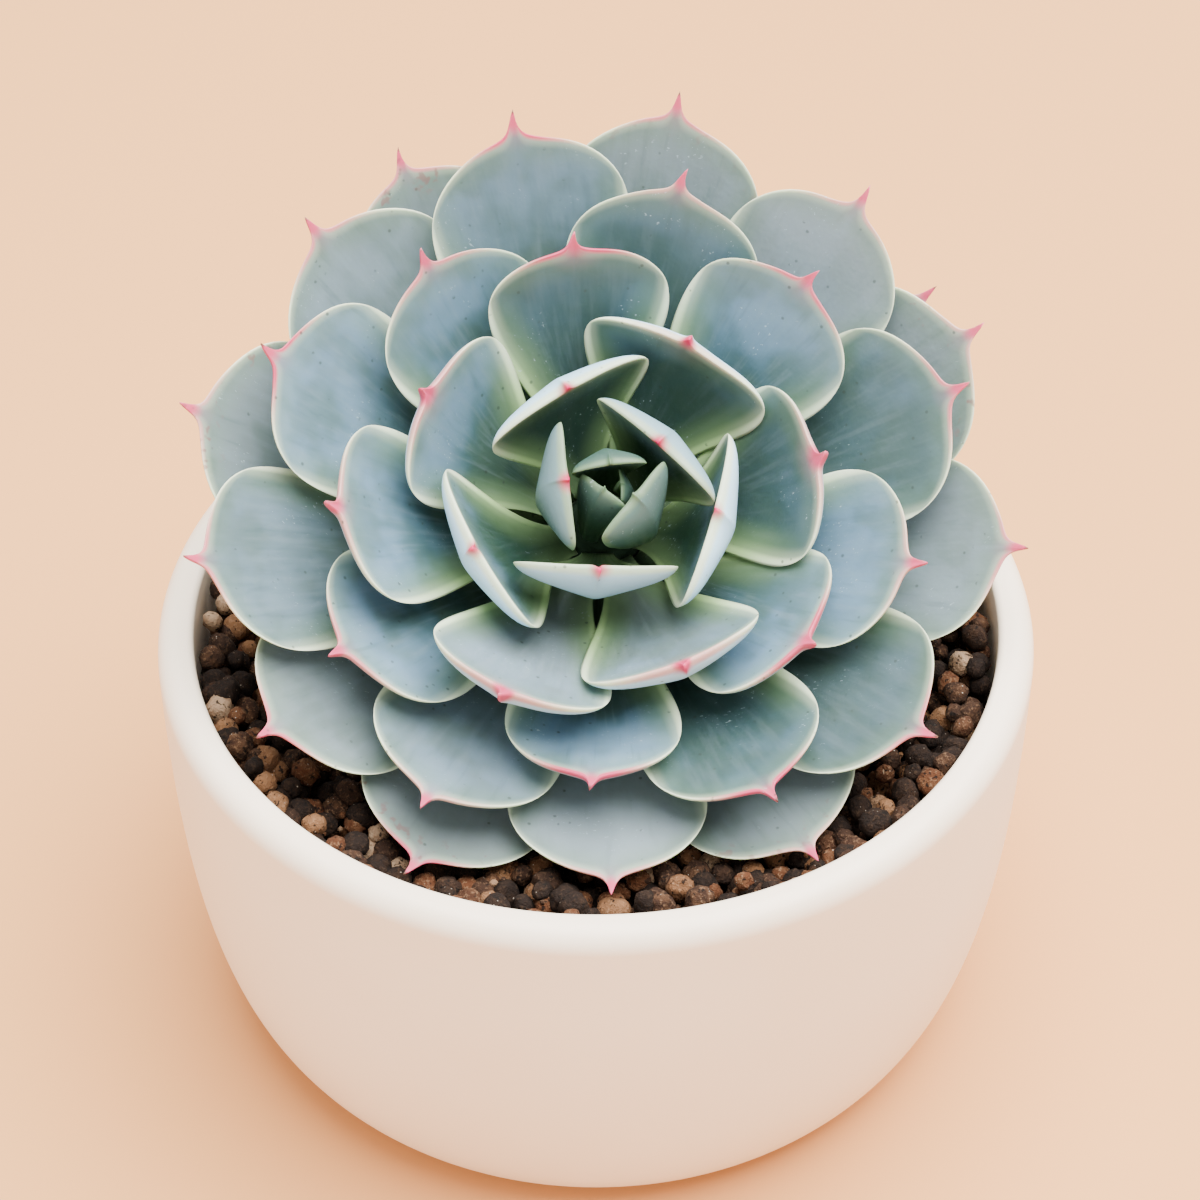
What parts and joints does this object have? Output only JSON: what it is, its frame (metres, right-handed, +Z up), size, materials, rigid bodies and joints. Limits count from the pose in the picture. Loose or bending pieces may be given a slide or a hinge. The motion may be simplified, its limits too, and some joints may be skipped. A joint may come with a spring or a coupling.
{
  "type": "potted esther echeveria",
  "caption": "Fleshy blue-green rosette succulent with pink leaf points, rooted in round clay granules that fill a plain cream ceramic bowl pot.",
  "frame": {"origin": "centre of the pot's flat base", "axes": "+Z up along the pot's axis; the rosette leans towards -Y, the front"},
  "size_m": [0.11, 0.11, 0.1086],
  "materials": {
    "pot": "satin cream glaze",
    "soil": "matte fired clay granules, dark brown to rust and beige",
    "stem": "living green tissue, matte",
    "leaf": "living leaf, waxy blue-green bloom with pink points"
  },
  "bodies": {
    "root": {"pot": "pot", "soil": "soil", "stem": "stem", "leaf_01": "leaf", "leaf_02": "leaf", "leaf_03": "leaf", "leaf_04": "leaf", "leaf_05": "leaf", "leaf_06": "leaf", "leaf_07": "leaf", "leaf_08": "leaf", "leaf_09": "leaf", "leaf_10": "leaf", "leaf_11": "leaf", "leaf_12": "leaf", "leaf_13": "leaf", "leaf_14": "leaf", "leaf_15": "leaf", "leaf_16": "leaf", "leaf_17": "leaf", "leaf_18": "leaf", "leaf_19": "leaf", "leaf_20": "leaf", "leaf_21": "leaf", "leaf_22": "leaf", "leaf_23": "leaf", "leaf_24": "leaf", "leaf_25": "leaf", "leaf_26": "leaf", "leaf_27": "leaf", "leaf_28": "leaf", "leaf_29": "leaf", "leaf_30": "leaf", "leaf_31": "leaf", "leaf_32": "leaf", "leaf_33": "leaf", "leaf_34": "leaf", "leaf_35": "leaf", "leaf_36": "leaf", "leaf_37": "leaf", "leaf_38": "leaf", "leaf_39": "leaf", "leaf_40": "leaf", "leaf_41": "leaf", "leaf_42": "leaf", "leaf_43": "leaf"}
  },
  "joints": []
}
